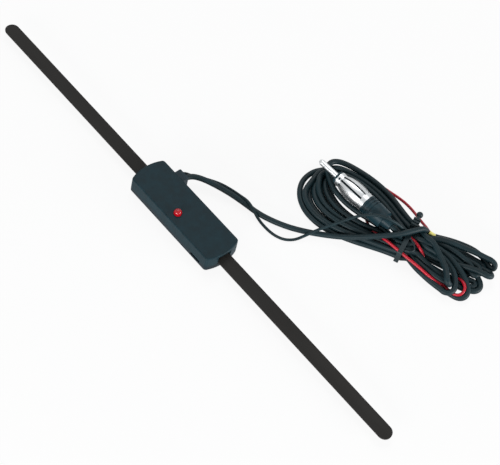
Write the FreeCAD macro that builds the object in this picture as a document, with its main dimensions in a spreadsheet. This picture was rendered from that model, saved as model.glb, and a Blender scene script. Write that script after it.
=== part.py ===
import FreeCAD, Part
import math
import os
import re

import Sketcher
from FreeCAD import Placement, Rotation, Vector

# Car windscreen aerial: a flat amplifier box stuck to the glass, a strip element out of each end, and a
# coaxial lead with a radio plug, wound into a tied hank. X runs along the strips, Y points to the side
# where the leads come out, Z is up from the adhesive face, and the origin is the middle of that face.

# Driving dimensions, in millimetres and degrees.
SIZES = {
    # Housing
    "HousingLength": 70.0,
    "HousingWidth": 23.0,
    "EndBow": 2.6,
    "CornerRadius": 2.0,
    "BaseHeight": 3.2,
    "BaseFloor": 1.7,
    "CoverHeight": 7.3,
    "CoverRoof": 1.4,
    "CoverDraft": 1.2,
    "Wall": 1.5,
    "TopRounding": 0.8,
    "FootRounding": 0.4,
    "RibThickness": 0.8,
    "RibHeight": 1.2,
    "RibReach": 28.0,
    "FitClearance": 0.15,
    "CutMargin": 1.0,
    "NotchStart": 20.2,
    "NotchLength": 7.4,
    "NotchDepth": 0.9,
    "NotchHeight": 1.6,
    # Foam tape under the tray
    "TapeLength": 58.0,
    "TapeWidth": 18.0,
    "TapeThickness": 1.0,
    "TapeStandoff": 0.5,
    "TapeCorner": 2.0,
    # Strip elements
    "SpanOverStrips": 330.0,
    "StripWidth": 8.5,
    "StripThickness": 0.8,
    "StripRise": 0.8,
    "StripGap": 0.8,
    "SlotClearance": 0.3,
    "SeatInset": 0.3,
    "SeatSetback": 0.6,
    # Screws and tabs that join the strips to the board
    "ScrewInset": 3.7,
    "ScrewDiameter": 2.0,
    "ScrewLength": 3.2,
    "ScrewHead": 4.0,
    "ScrewHeadHeight": 1.1,
    "ScrewSlot": 0.6,
    "TabThickness": 0.4,
    "TabWidth": 4.0,
    "TabOverlap": 3.1,
    "TabRing": 5.6,
    # Circuit board and its posts
    "BoardLength": 49.0,
    "BoardWidth": 17.4,
    "BoardThickness": 1.2,
    "BoardCorner": 1.0,
    "PostSpacingX": 40.0,
    "PostSpacingY": 12.4,
    "PostDiameter": 3.2,
    "PostPin": 1.5,
    "PinProud": 0.5,
    # Parts on the board
    "LeadWire": 0.6,
    "LeadProud": 0.9,
    "LedX": 0.0,
    "LedY": -5.1,
    "LedDiameter": 4.5,
    "LedFlange": 5.2,
    "LedFlangeHeight": 1.0,
    "LedProud": 2.9,
    "LeadPitch": 2.54,
    "TransistorLength": 4.5,
    "TransistorWidth": 2.5,
    "TransistorHeight": 1.5,
    "TransistorDraft": 7.0,
    "TransistorX": 9.0,
    "TransistorY": 2.0,
    "LegReach": 0.9,
    "LegWidth": 0.5,
    "LegThickness": 0.35,
    "LegPitch": 1.5,
    "CanDiameter": 3.8,
    "CanLength": 5.4,
    "CanGroovePlace": 4.3,
    "CanGroove": 0.24,
    "CanX": -13.0,
    "CanY": -3.4,
    "DiscDiameter": 3.4,
    "DiscThickness": 1.8,
    "DiscX": 14.5,
    "DiscY": 4.6,
    "DiscShift": 0.9,
    "DiscStep": -7.6,
    "ResistorDiameter": 1.8,
    "ResistorLength": 3.6,
    "ResistorX": 2.0,
    "ResistorY": 4.8,
    "ResistorStep": 3.0,
    "BendReach": 1.4,
    "ChokeDiameter": 3.8,
    "ChokeWaist": 2.4,
    "ChokeHeight": 3.6,
    "ChokeFlange": 0.7,
    "ChokeX": -7.5,
    "ChokeY": 4.0,
    # Grommet and the leads through it
    "GrommetPlace": -19.0,
    "GrommetWidth": 7.5,
    "GrommetReach": 4.1,
    "GrommetHeight": 6.3,
    "GrommetFlange": 1.0,
    "GrommetFlangeLip": 1.0,
    "GrommetRounding": 0.7,
    "CoaxDiameter": 3.3,
    "CoaxOffset": 1.4,
    "CoaxHeight": 7.2,
    "ThinDiameter": 1.7,
    "ThinOffset": -1.9,
    "ThinHeight": 7.7,
    "TailLength": 1.6,
    "CoreDiameter": 0.8,
    "CoreLength": 1.8,
    "CoaxStraight": 5.0,
    "ThinStraight": 7.0,
    # Hank of lead, in a frame of its own at the tie
    "HankX": 85.5,
    "HankY": 92.0,
    "HankAngle": 22.0,
    "LeftLobeX": -43.0,
    "LeftLobeY": 7.5,
    "LeftLobeRadius": 24.5,
    "LeftEyeRadius": 6.5,
    "RightLobeX": 33.5,
    "RightLobeY": -2.5,
    "RightLobeRadius": 17.5,
    "RightEyeRadius": 4.5,
    "EyeTip": 10.0,
    "LobeHeight": 7.0,
    "WaistHeight": 9.5,
    "WaistWidth": 24.0,
    "WaistFlat": 5.0,
    "WaistRun": 14.0,
    # Tie round the hank's waist
    "TieWidth": 2.7,
    "TieThickness": 1.1,
    "TieGap": 0.35,
    "TieCorner": 1.1,
    "TieHeadLength": 6.3,
    "TieHeadWidth": 4.2,
    "TieHeadHeight": 2.4,
    "TieHeadPlace": 6.2,
    "TieRidge": 0.9,
    "TieRidgeHeight": 0.6,
    "TieRidgeCount": 3,
    "TieTail": 2.0,
    "TieKnob": 3.9,
    "TieKnobPlace": 16.2,
    # Sleeve over the joint of the supply lead
    "SleeveDiameter": 2.4,
    "SleeveLength": 3.8,
    "SleeveX": 8.8,
    "SleeveY": 9.6,
    # Radio plug, its axis level, resting on the hank
    "PlugX": 19.5,
    "PlugY": 83.9,
    "PlugYaw": 2.6,
    "PlugRest": 0.15,
    "PinDiameter": 3.4,
    "PinLength": 14.2,
    "PinTip": 1.4,
    "PinNose": 1.9,
    "PinShank": 2.0,
    "CollarLength": 1.4,
    "CollarDiameter": 7.7,
    "CoreRod": 4.6,
    "ShellLength": 21.8,
    "ShellFront": 8.4,
    "ShellBulge": 12.4,
    "ShellRear": 11.2,
    "ShellFrontRing": 2.9,
    "ShellRearRing": 3.2,
    "ShellWall": 0.6,
    "SlotWidth": 1.15,
    "SlotIntoRing": 0.3,
    "SlotCount": 10,
    "DimplePlace": 1.4,
    "DimpleDiameter": 1.3,
    "BootDiameter": 11.7,
    "BootRear": 10.8,
    "BootLength": 14.0,
    "BootSpigot": 3.0,
    "BootTail": 7.6,
    "BootTailEnd": 5.4,
    "BootTailLength": 5.3,
    "GripStart": 1.4,
    "GripGroove": 0.9,
    "GripPitch": 1.8,
    "GripDepth": 0.4,
    "GripCount": 3,
    "PlugStraight": 3.0,
}

# Heights and reaches that several pieces share, as expressions of the driving dimensions.
PART_LINE = "(TapeStandoff + BaseHeight)"
FLOOR_TOP = "(TapeStandoff + BaseFloor)"
ROOF_UNDER = "(TapeStandoff + BaseHeight + CoverHeight - CoverRoof)"
COVER_TOP = "(TapeStandoff + BaseHeight + CoverHeight)"
STRIP_UNDER = f"({PART_LINE} + StripRise)"
BOARD_TOP = f"({STRIP_UNDER} + StripThickness)"
BOARD_UNDER = f"({BOARD_TOP} - BoardThickness)"
STRIP_END = "(BoardLength / 2 + StripGap)"
SCREW_X = f"({STRIP_END} + ScrewInset)"
TAB_END = "(BoardLength / 2 - TabOverlap)"
HALF_LENGTH = "(HousingLength / 2)"
HALF_WIDTH = "(HousingWidth / 2)"
CORNER_X = "(HousingLength / 2 - EndBow)"
INNER_FACE = "(HousingWidth / 2 - Wall - FitClearance)"
RIB_INNER = f"({INNER_FACE} - RibThickness)"
GROMMET_LEFT = "(GrommetPlace - GrommetWidth / 2)"
GROMMET_RIGHT = "(GrommetPlace + GrommetWidth / 2)"
GROMMET_FACE = "(HousingWidth / 2 + GrommetReach)"
FLANGE_BACK = f"({INNER_FACE} - GrommetFlange)"
COAX_X = "(GrommetPlace + CoaxOffset)"
THIN_X = "(GrommetPlace + ThinOffset)"
PLUG_Z = "(LobeHeight + ShellBulge / 2 + PlugRest)"
SHELL_START = "(PinLength + CollarLength)"
SHELL_END = f"({SHELL_START} + ShellLength)"
BOOT_END = f"({SHELL_END} + BootLength)"
BOOT_TIP = f"({BOOT_END} + BootTailLength)"

# Routes of the leads where they aren't wound, after the short straight run where each leaves its fitting. The
# red lead's points are along the hank, across it and up from the floor; the others are in the part's frame.
COAX_ROUTE = [
    (-9.6, 27.6, 4.9),
    (2.0, 32.8, 2.7),
    (14.4, 36.5, 1.75),
    (30.1, 41.6, 1.75),
    (43.4, 49.6, 1.9),
    (54.6, 57.4, 4.3),
    (64.8, 63.4, 8.8),
    (73.6, 72.0, 12.6),
    (80.6, 83.0, 15.6),
    (85.2, 94.0, 16.0),
    (86.8, 100.1, 14.2),
    (87.7, 103.2, 10.6),
    (87.9, 104.0, 6.0),
]
THIN_ROUTE = [
    (-14.0, 30.6, 7.0),
    (0.6, 35.8, 5.8),
    (13.0, 37.2, 6.4),
    (22.6, 35.6, 3.8),
    (30.4, 34.6, 1.3),
    (38.2, 35.6, 0.95),
    (44.4, 39.2, 1.0),
    (48.0, 46.0, 3.6),
    (51.0, 53.4, 9.0),
    (54.4, 61.0, 12.2),
    (58.4, 68.0, 15.8),
    (62.8, 74.8, 20.4),
    (68.4, 81.0, 22.6),
    (74.0, 86.2, 21.4),
    (78.6, 90.2, 17.4),
    (81.2, 92.8, 12.0),
    (82.2, 94.2, 6.0),
]
RED_ROUTE = [
    (-33.0, 18.0, 3.4),
    (-27.6, 23.6, 4.4),
    (-20.4, 25.4, 5.6),
    (-12.6, 24.6, 6.2),
    (-5.2, 22.0, 6.4),
    (0.4, 18.8, 6.2),
    (4.8, 15.2, 5.8),
    (8.4, 11.8, 5.0),
]
PLUG_ROUTE = [
    (82.4, 87.3, 11.3),
    (84.6, 88.2, 7.0),
]

TOLERANCE = 1e-4
# Share of the shorter run that a bend takes up at each corner of a lead.
BEND_SHARE = 0.45
# Largest difference between a lead's volume and that of a plain tube of its length.
VOLUME_TOLERANCE = 0.01

doc = FreeCAD.newDocument("WindscreenAerial")
sheet = doc.addObject("Spreadsheet::Sheet", "Sizes")
for row, (alias, number) in enumerate(SIZES.items(), start=1):
    sheet.set(f"A{row}", alias)
    sheet.set(f"B{row}", str(number))
    sheet.setAlias(f"B{row}", alias)
doc.recompute()

ALIAS = re.compile(r"\b(" + "|".join(SIZES) + r")\b")


def bound(text):
    # An expression with each driving dimension written as a cell of the sheet.
    return ALIAS.sub(r"Sizes.\1", str(text))


def size(text):
    return float(sheet.evalExpression(bound(text)))


def bind(item, **sizes):
    for name, text in sizes.items():
        item.setExpression(name, bound(text))


def place(item, x="0", y="0", z="0", angle=None):
    for axis, text in zip("xyz", (x, y, z)):
        item.setExpression(f"Placement.Base.{axis}", bound(text))
    if angle:
        item.setExpression("Placement.Rotation.Angle", bound(angle))


# Sketches
def origin_feature(body, role):
    return next(item for item in body.Origin.OriginFeatures if item.Role == role)


def sketch_on(body, name, role="XY_Plane", height=None):
    sketch = body.newObject("Sketcher::SketchObject", name)
    sketch.AttachmentSupport = (origin_feature(body, role), [""])
    sketch.MapMode = "FlatFace"
    if height:
        sketch.setExpression("AttachmentOffset.Base.z", bound(height))
    return sketch


def dimension(sketch, constraint, text):
    index = sketch.addConstraint(constraint)
    sketch.setExpression(f"Constraints[{index}]", bound(text))


def fix(sketch, edge, end, x, y):
    dimension(sketch, Sketcher.Constraint("DistanceX", edge, end, size(x)), x)
    dimension(sketch, Sketcher.Constraint("DistanceY", edge, end, size(y)), y)


def polygon(sketch, corners):
    first = sketch.GeometryCount
    points = [Vector(size(x), size(y), 0) for x, y in corners]
    count = len(points)
    for i, start in enumerate(points):
        sketch.addGeometry(Part.LineSegment(start, points[(i + 1) % count]), False)
    for i in range(count):
        following = first + (i + 1) % count
        sketch.addConstraint(Sketcher.Constraint("Coincident", first + i, 2, following, 1))
    for i, (x, y) in enumerate(corners):
        fix(sketch, first + i, 1, x, y)


def rectangle(sketch, left, right, low, high):
    polygon(sketch, [(left, low), (right, low), (right, high), (left, high)])


def circle(sketch, x, y, diameter):
    middle = Vector(size(x), size(y), 0)
    edge = sketch.addGeometry(Part.Circle(middle, Vector(0, 0, 1), size(diameter) / 2), False)
    fix(sketch, edge, 3, x, y)
    dimension(sketch, Sketcher.Constraint("Diameter", edge, size(diameter)), diameter)


def arc_between(sketch, start, end, radius, side):
    # An arc of the given radius from one line's end to the next line's start, bulging to one side.
    (edge_a, end_a, a), (edge_b, end_b, b) = start, end
    chord = b - a
    across = Vector(-chord.y, chord.x, 0).normalize() * side
    rise = radius - math.sqrt(radius ** 2 - (chord.Length / 2) ** 2)
    crown = (a + b) / 2 + across * rise
    centre = crown - across * radius
    first, last = (b, a) if side > 0 else (a, b)
    start_angle = math.atan2(first.y - centre.y, first.x - centre.x)
    end_angle = math.atan2(last.y - centre.y, last.x - centre.x)
    arc = Part.ArcOfCircle(Part.Circle(centre, Vector(0, 0, 1), radius), start_angle, end_angle)
    edge = sketch.addGeometry(arc, False)
    ends = (2, 1) if side > 0 else (1, 2)
    sketch.addConstraint(Sketcher.Constraint("Coincident", edge_a, end_a, edge, ends[0]))
    sketch.addConstraint(Sketcher.Constraint("Coincident", edge, ends[1], edge_b, end_b))
    return edge


def bowed_outline(sketch, corner_x, half_width, bow):
    # Two straight sides joined by an end arc that bows outwards at each end.
    x = size(corner_x)
    y = size(half_width)
    radius = f"({half_width}^2 + {bow}^2) / (2 * {bow})"
    far = sketch.addGeometry(Part.LineSegment(Vector(-x, y, 0), Vector(x, y, 0)), False)
    near = sketch.addGeometry(Part.LineSegment(Vector(x, -y, 0), Vector(-x, -y, 0)), False)
    right = arc_between(sketch, (far, 2, Vector(x, y, 0)), (near, 1, Vector(x, -y, 0)), size(radius), 1)
    left = arc_between(sketch, (near, 2, Vector(-x, -y, 0)), (far, 1, Vector(-x, y, 0)), size(radius), 1)
    fix(sketch, far, 1, f"-{corner_x}", half_width)
    fix(sketch, far, 2, corner_x, half_width)
    fix(sketch, near, 1, corner_x, f"-{half_width}")
    fix(sketch, near, 2, f"-{corner_x}", f"-{half_width}")
    for edge in (left, right):
        dimension(sketch, Sketcher.Constraint("Radius", edge, size(radius)), radius)


# Features of a body
def new_body(label):
    body = doc.addObject("PartDesign::Body", label)
    body.Label = label
    return body


def pad(body, sketch, length, **settings):
    feature = body.newObject("PartDesign::Pad", "Pad_" + sketch.Name)
    feature.Profile = sketch
    bind(feature, Length=length)
    for name, value in settings.items():
        setattr(feature, name, value)
    doc.recompute()
    return feature


def pocket(body, sketch, length=None, **settings):
    before = body.Shape.Volume
    feature = body.newObject("PartDesign::Pocket", "Pocket_" + sketch.Name)
    feature.Profile = sketch
    if length:
        bind(feature, Length=length)
    else:
        feature.Type = "ThroughAll"
    for name, value in settings.items():
        setattr(feature, name, value)
    doc.recompute()
    if body.Shape.Volume >= before:
        raise ValueError(f"{sketch.Name} cuts nothing")
    return feature


def revolve(body, sketch):
    feature = body.newObject("PartDesign::Revolution", "Turned_" + sketch.Name)
    feature.Profile = sketch
    feature.ReferenceAxis = (origin_feature(body, "X_Axis"), [""])
    feature.Angle = 360
    doc.recompute()
    return feature


def round_edges(body, radius, chosen):
    base = body.Tip
    names = [f"Edge{i}" for i, edge in enumerate(base.Shape.Edges, start=1) if chosen(edge)]
    feature = body.newObject("PartDesign::Fillet", "Rounding")
    feature.Base = (base, names)
    bind(feature, Radius=radius)
    doc.recompute()
    return feature


def upright(edge):
    box = edge.BoundBox
    return box.ZLength > max(box.XLength, box.YLength)


def level_at(height):
    def chosen(edge):
        box = edge.BoundBox
        return abs(box.ZMin - height) < TOLERANCE and abs(box.ZMax - height) < TOLERANCE
    return chosen


# Plain solids
def solid(kind, name, at, turn=None, **sizes):
    item = doc.addObject(kind, name)
    if turn:
        item.Placement = Placement(Vector(), Rotation(*turn))
    bind(item, **sizes)
    for axis, text in zip("xyz", at):
        item.setExpression(f"Placement.Base.{axis}", bound(text))
    return item


def fused(name, items):
    item = doc.addObject("Part::MultiFuse", name)
    item.Shapes = items
    return item


def cut(name, base, tool):
    item = doc.addObject("Part::Cut", name)
    item.Base = base
    item.Tool = tool
    return item


def group(label, items):
    item = doc.addObject("Part::Compound", label)
    item.Label = label
    item.Links = items
    return item


ALONG_X = (Vector(0, 1, 0), 90)
TOWARDS_BACK = (Vector(1, 0, 0), 90)


# Housing
def build_tray():
    body = new_body("base_tray")
    outline = sketch_on(body, "tray_outline", height="TapeStandoff")
    bowed_outline(outline, CORNER_X, HALF_WIDTH, "EndBow")
    pad(body, outline, "BaseHeight")
    round_edges(body, "CornerRadius", upright)
    round_edges(body, "FootRounding", level_at(size("TapeStandoff")))

    hollow = sketch_on(body, "tray_hollow", height=PART_LINE)
    bowed_outline(hollow, f"({CORNER_X} - Wall)", f"({HALF_WIDTH} - Wall)", "EndBow")
    pocket(body, hollow, "BaseHeight - BaseFloor")

    notch = sketch_on(body, "pry_notch", height=PART_LINE)
    rectangle(notch, "NotchStart", "NotchStart + NotchLength", f"-{HALF_WIDTH} - CutMargin",
              f"-{HALF_WIDTH} + NotchDepth")
    pocket(body, notch, "NotchHeight")

    seats = sketch_on(body, "strip_seats", height=FLOOR_TOP)
    seat_end = f"({HALF_LENGTH} - SeatSetback)"
    seat_start = f"({STRIP_END} + SeatInset)"
    rectangle(seats, seat_start, seat_end, "-StripWidth / 2", "StripWidth / 2")
    rectangle(seats, f"-{seat_end}", f"-{seat_start}", "-StripWidth / 2", "StripWidth / 2")
    pad(body, seats, f"{STRIP_UNDER} - {FLOOR_TOP}")

    ribs = sketch_on(body, "locating_ribs", height=FLOOR_TOP)
    rectangle(ribs, "-RibReach", "RibReach", f"-{INNER_FACE}", f"-{RIB_INNER}")
    clear = "GrommetFlangeLip + FitClearance"
    rectangle(ribs, f"{GROMMET_RIGHT} + {clear}", "RibReach", RIB_INNER, INNER_FACE)
    rectangle(ribs, "-RibReach", f"{GROMMET_LEFT} - ({clear})", RIB_INNER, INNER_FACE)
    pad(body, ribs, f"{PART_LINE} + RibHeight - {FLOOR_TOP}")

    posts = sketch_on(body, "board_posts", height=FLOOR_TOP)
    pins = sketch_on(body, "board_pins", height=BOARD_UNDER)
    for x, y in post_places():
        circle(posts, x, y, "PostDiameter")
        circle(pins, x, y, "PostPin")
    pad(body, posts, f"{BOARD_UNDER} - {FLOOR_TOP}")
    pad(body, pins, "BoardThickness + PinProud")

    holes = sketch_on(body, "screw_holes", height=STRIP_UNDER)
    for side in ("", "-"):
        circle(holes, f"{side}{SCREW_X}", "0", "ScrewDiameter")
    pocket(body, holes, "ScrewLength - StripThickness - TabThickness")

    recess = sketch_on(body, "tape_recess", height="TapeStandoff")
    long_half = "(TapeLength / 2 + FitClearance)"
    wide_half = "(TapeWidth / 2 + FitClearance)"
    rectangle(recess, f"-{long_half}", long_half, f"-{wide_half}", wide_half)
    pocket(body, recess, "TapeThickness - TapeStandoff", Reversed=True)


def post_places():
    return [(f"{a}PostSpacingX / 2", f"{b}PostSpacingY / 2") for a in ("", "-") for b in ("", "-")]


def build_cover():
    body = new_body("upper_cover")
    outline = sketch_on(body, "cover_outline", height=PART_LINE)
    bowed_outline(outline, CORNER_X, HALF_WIDTH, "EndBow")
    bind(pad(body, outline, "CoverHeight"), TaperAngle="-CoverDraft")
    doc.recompute()
    round_edges(body, "CornerRadius", upright)
    round_edges(body, "TopRounding", level_at(size(COVER_TOP)))

    hollow = sketch_on(body, "cover_hollow", height=PART_LINE)
    bowed_outline(hollow, f"({CORNER_X} - Wall)", f"({HALF_WIDTH} - Wall)", "EndBow")
    pocket(body, hollow, "CoverHeight - CoverRoof", Reversed=True)

    slots = sketch_on(body, "strip_slots", height=PART_LINE)
    half_slot = "(StripWidth / 2 + SlotClearance)"
    inside = f"({CORNER_X} - 2 * Wall)"
    outside = f"({HALF_LENGTH} + CutMargin)"
    rectangle(slots, inside, outside, f"-{half_slot}", half_slot)
    rectangle(slots, f"-{outside}", f"-{inside}", f"-{half_slot}", half_slot)
    pocket(body, slots, "CoverHeight - CoverRoof", Reversed=True)

    gate = sketch_on(body, "grommet_notch", height=PART_LINE)
    rectangle(gate, f"{GROMMET_LEFT} - FitClearance", f"{GROMMET_RIGHT} + FitClearance",
              f"{HALF_WIDTH} - 2 * Wall", f"{HALF_WIDTH} + CutMargin")
    pocket(body, gate, "CoverHeight - CoverRoof", Reversed=True)

    lamp = sketch_on(body, "lamp_hole", height=COVER_TOP)
    circle(lamp, "LedX", "LedY", "LedDiameter + 2 * FitClearance")
    pocket(body, lamp, "2 * CoverRoof")


def build_tape():
    body = new_body("adhesive_pad")
    outline = sketch_on(body, "tape_outline")
    rectangle(outline, "-TapeLength / 2", "TapeLength / 2", "-TapeWidth / 2", "TapeWidth / 2")
    pad(body, outline, "TapeThickness")
    round_edges(body, "TapeCorner", upright)


# Strip elements and how they are fixed
def build_strip(label, turned):
    body = new_body(label)
    outline = sketch_on(body, label + "_outline", height=STRIP_UNDER)
    half = "(StripWidth / 2)"
    straight = f"(SpanOverStrips / 2 - {half})"
    inner = size(STRIP_END)
    outer = size(straight)
    y = size(half)
    far = outline.addGeometry(Part.LineSegment(Vector(inner, y, 0), Vector(outer, y, 0)), False)
    near = outline.addGeometry(Part.LineSegment(Vector(outer, -y, 0), Vector(inner, -y, 0)), False)
    back = outline.addGeometry(Part.LineSegment(Vector(inner, -y, 0), Vector(inner, y, 0)), False)
    tip_circle = Part.Circle(Vector(outer, 0, 0), Vector(0, 0, 1), y)
    tip = outline.addGeometry(Part.ArcOfCircle(tip_circle, -math.pi / 2, math.pi / 2), False)
    for a, end_a, b, end_b in ((far, 2, tip, 2), (tip, 1, near, 1), (near, 2, back, 1), (back, 2, far, 1)):
        outline.addConstraint(Sketcher.Constraint("Coincident", a, end_a, b, end_b))
    fix(outline, far, 1, STRIP_END, half)
    fix(outline, far, 2, straight, half)
    fix(outline, near, 1, straight, f"-{half}")
    fix(outline, near, 2, STRIP_END, f"-{half}")
    dimension(outline, Sketcher.Constraint("DistanceX", tip, 3, outer), straight)
    pad(body, outline, "StripThickness")
    hole = sketch_on(body, label + "_hole", height=BOARD_TOP)
    circle(hole, SCREW_X, "0", "ScrewDiameter + 2 * FitClearance")
    pocket(body, hole)
    body.Placement = Placement(Vector(), Rotation(Vector(0, 0, 1), 180 if turned else 0))


def build_fixings():
    screws = []
    tabs = []
    for side, angle in (("right", 0), ("left", 180)):
        half_turn = Placement(Vector(), Rotation(Vector(0, 0, 1), angle))
        head_base = f"{BOARD_TOP} + TabThickness"
        shank = solid("Part::Cylinder", f"shank_{side}", (SCREW_X, "0", f"{head_base} - ScrewLength"),
                      Radius="ScrewDiameter / 2", Height="ScrewLength")
        head = solid("Part::Cone", f"head_{side}", (SCREW_X, "0", head_base),
                     Radius1="ScrewHead / 2", Radius2="ScrewHead / 2 - ScrewHeadHeight / 2",
                     Height="ScrewHeadHeight")
        slot = solid("Part::Box", f"slot_{side}",
                     (f"{SCREW_X} - ScrewHead / 2", "-ScrewSlot / 2", f"{head_base} + ScrewHeadHeight / 2"),
                     Length="ScrewHead", Width="ScrewSlot", Height="ScrewHeadHeight")
        screw = cut(f"screw_{side}", fused(f"blank_{side}", [shank, head]), slot)
        screw.Placement = half_turn
        screws.append(screw)

        strap = solid("Part::Box", f"strap_{side}", (TAB_END, "-TabWidth / 2", BOARD_TOP),
                      Length=f"{SCREW_X} - {TAB_END}", Width="TabWidth", Height="TabThickness")
        ring = solid("Part::Cylinder", f"ring_{side}", (SCREW_X, "0", BOARD_TOP),
                     Radius="TabRing / 2", Height="TabThickness")
        bore = solid("Part::Cylinder", f"bore_{side}", (SCREW_X, "0", BOARD_TOP),
                     Radius="ScrewDiameter / 2 + FitClearance", Height="TabThickness")
        tab = cut(f"tab_{side}", fused(f"plate_{side}", [strap, ring]), bore)
        tab.Placement = half_turn
        tabs.append(tab)
    group("strip_screws", screws)
    group("strip_contacts", tabs)


# Circuit board and what stands on it
def build_board(lead_holes):
    body = new_body("circuit_board")
    outline = sketch_on(body, "board_outline", height=BOARD_UNDER)
    rectangle(outline, "-BoardLength / 2", "BoardLength / 2", "-BoardWidth / 2", "BoardWidth / 2")
    pad(body, outline, "BoardThickness")
    round_edges(body, "BoardCorner", upright)
    holes = sketch_on(body, "board_holes", height=BOARD_TOP)
    for x, y in post_places():
        circle(holes, x, y, "PostPin + 2 * FitClearance")
    for x, y in lead_holes:
        circle(holes, x, y, "LeadWire + FitClearance")
    pocket(body, holes)


def build_led():
    dome_base = f"({COVER_TOP} + LedProud - LedDiameter / 2)"
    flange = solid("Part::Cylinder", "led_flange", ("LedX", "LedY", BOARD_TOP),
                   Radius="LedFlange / 2", Height="LedFlangeHeight")
    barrel = solid("Part::Cylinder", "led_barrel", ("LedX", "LedY", BOARD_TOP),
                   Radius="LedDiameter / 2", Height=f"{dome_base} - {BOARD_TOP}")
    dome = solid("Part::Sphere", "led_dome", ("LedX", "LedY", dome_base), Radius="LedDiameter / 2")
    lamp = fused("indicator_led", [flange, barrel, dome])
    lamp.Label = "indicator_led"


def wire_down(name, x, y, top):
    foot = f"({BOARD_UNDER} - LeadProud)"
    return solid("Part::Cylinder", name, (x, y, foot), Radius="LeadWire / 2", Height=f"{top} - {foot}")


def bent_wire(name, x, y, height, reach):
    # A lead that leaves a lying part along X and turns down through the board.
    bend_x = f"{x} + {reach}"
    start = x if size(reach) > 0 else bend_x
    along = solid("Part::Cylinder", name + "_along", (start, y, height), ALONG_X,
                  Radius="LeadWire / 2", Height=f"abs({reach})")
    knee = solid("Part::Sphere", name + "_knee", (bend_x, y, height), Radius="LeadWire / 2")
    return fused(name, [along, knee, wire_down(name + "_down", bend_x, y, height)])


def build_parts_on_board():
    leads = []
    holes = []

    def straight(name, x, y, top=BOARD_TOP):
        leads.append(wire_down(name, x, y, top))
        holes.append((x, y))

    def bent(name, x, y, height, reach):
        leads.append(bent_wire(name, x, y, height, reach))
        holes.append((f"{x} + {reach}", y))

    for i, side in enumerate(("-", "+")):
        straight(f"led_lead_{i}", f"LedX {side} LeadPitch / 2", "LedY")

    can_axis = f"({BOARD_TOP} + CanDiameter / 2)"
    can = solid("Part::Cylinder", "can_body", ("CanX", "CanY", can_axis), ALONG_X,
                Radius="CanDiameter / 2", Height="CanLength")
    groove = solid("Part::Torus", "can_groove", ("CanX + CanGroovePlace", "CanY", can_axis), ALONG_X,
                   Radius1="CanDiameter / 2", Radius2="CanGroove")
    capacitor = cut("electrolytic_capacitor", can, groove)
    capacitor.Label = "electrolytic_capacitor"
    for i, side in enumerate(("-", "+")):
        bent(f"can_lead_{i}", "CanX + CanLength", f"CanY {side} LeadPitch / 2", can_axis, "BendReach")

    discs = []
    disc_height = f"{BOARD_TOP} + DiscDiameter / 2"
    for i in range(2):
        x = f"(DiscX + {i} * DiscShift)"
        y = f"(DiscY + {i} * DiscStep)"
        discs.append(solid("Part::Cylinder", f"disc_{i}", (x, f"{y} + DiscThickness / 2", disc_height),
                           TOWARDS_BACK, Radius="DiscDiameter / 2", Height="DiscThickness"))
        straight(f"disc_lead_{i}", x, y)
    group("ceramic_capacitors", discs)

    resistors = []
    resistor_axis = f"({BOARD_TOP} + ResistorDiameter / 2)"
    for i in range(2):
        y = f"(ResistorY - {i} * ResistorStep)"
        at = ("ResistorX - ResistorLength / 2", y, resistor_axis)
        resistors.append(solid("Part::Cylinder", f"resistor_{i}", at, ALONG_X,
                               Radius="ResistorDiameter / 2", Height="ResistorLength"))
        bent(f"resistor_lead_{i}a", "ResistorX - ResistorLength / 2", y, resistor_axis, "-BendReach")
        bent(f"resistor_lead_{i}b", "ResistorX + ResistorLength / 2", y, resistor_axis, "BendReach")
    group("resistors", resistors)

    rim = "ChokeHeight - ChokeFlange"
    low_rim = solid("Part::Cylinder", "choke_low_rim", ("ChokeX", "ChokeY", BOARD_TOP),
                    Radius="ChokeDiameter / 2", Height="ChokeFlange")
    waist = solid("Part::Cylinder", "choke_winding", ("ChokeX", "ChokeY", BOARD_TOP),
                  Radius="ChokeWaist / 2", Height="ChokeHeight")
    high_rim = solid("Part::Cylinder", "choke_high_rim", ("ChokeX", "ChokeY", f"{BOARD_TOP} + {rim}"),
                     Radius="ChokeDiameter / 2", Height="ChokeFlange")
    choke = fused("choke_coil", [low_rim, waist, high_rim])
    choke.Label = "choke_coil"
    for i, side in enumerate(("-", "+")):
        straight(f"choke_lead_{i}", f"ChokeX {side} LeadPitch / 2", "ChokeY")

    group("component_leads", leads)
    return holes


def build_transistor():
    body = new_body("amplifier_transistor")
    outline = sketch_on(body, "transistor_outline", height=f"{BOARD_TOP} + LegThickness / 2")
    rectangle(outline, "TransistorX - TransistorLength / 2", "TransistorX + TransistorLength / 2",
              "TransistorY - TransistorWidth / 2", "TransistorY + TransistorWidth / 2")
    bind(pad(body, outline, "TransistorHeight"), TaperAngle="-TransistorDraft")
    legs = []
    for i, step in enumerate((-1, 0, 1)):
        x = f"TransistorX + {step} * LegPitch - LegWidth / 2"
        y = "TransistorY - TransistorWidth / 2 - LegReach"
        legs.append(solid("Part::Box", f"leg_{i}", (x, y, BOARD_TOP),
                          Length="LegWidth", Width="LegReach", Height="LegThickness"))
    group("transistor_legs", legs)


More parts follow.
